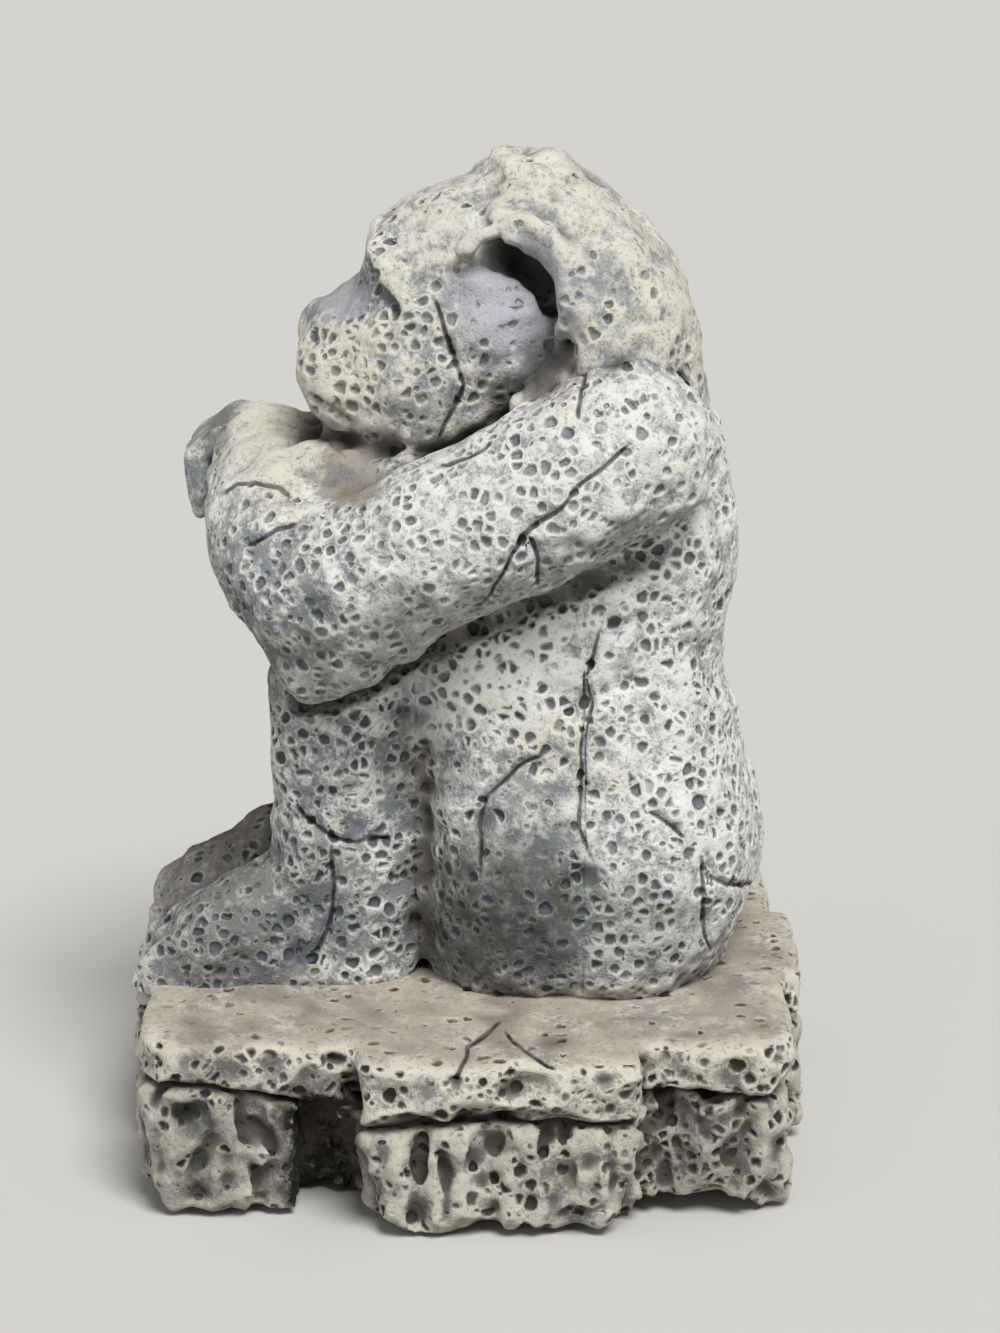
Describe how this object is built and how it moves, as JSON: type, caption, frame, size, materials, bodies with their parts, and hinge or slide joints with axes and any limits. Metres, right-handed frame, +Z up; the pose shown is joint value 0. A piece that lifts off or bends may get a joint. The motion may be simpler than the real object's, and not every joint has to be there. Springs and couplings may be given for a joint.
{
  "type": "gargoyle figurine",
  "caption": "Crouching gargoyle figurine with folded arms and swept-back ears on a square broken-stone plinth, in stone-effect cast resin with a felt base pad",
  "frame": {"origin": "under the middle of the plinth, on the plane that it rests on", "axes": "+Z up, the figure faces -Y and its left side is +X"},
  "size_m": [0.0512, 0.05, 0.0733],
  "materials": {
    "figure_stone": "stone-effect cast resin, pitted, dark wash and pale dry brush, matt",
    "plinth_stone": "stone-effect cast resin, rough broken faces, dusty brown wash, matt",
    "felt": "pressed felt"
  },
  "bodies": {
    "root": {"felt_pad": "felt", "plinth_course": "plinth_stone", "plinth_slab": "plinth_stone", "torso": "figure_stone", "left_thigh": "figure_stone", "right_thigh": "figure_stone", "left_shin": "figure_stone", "right_shin": "figure_stone", "left_foot": "figure_stone", "right_foot": "figure_stone", "left_arm": "figure_stone", "right_arm": "figure_stone", "left_hand": "figure_stone", "head": "figure_stone", "left_ear": "figure_stone", "right_ear": "figure_stone"}
  },
  "joints": []
}
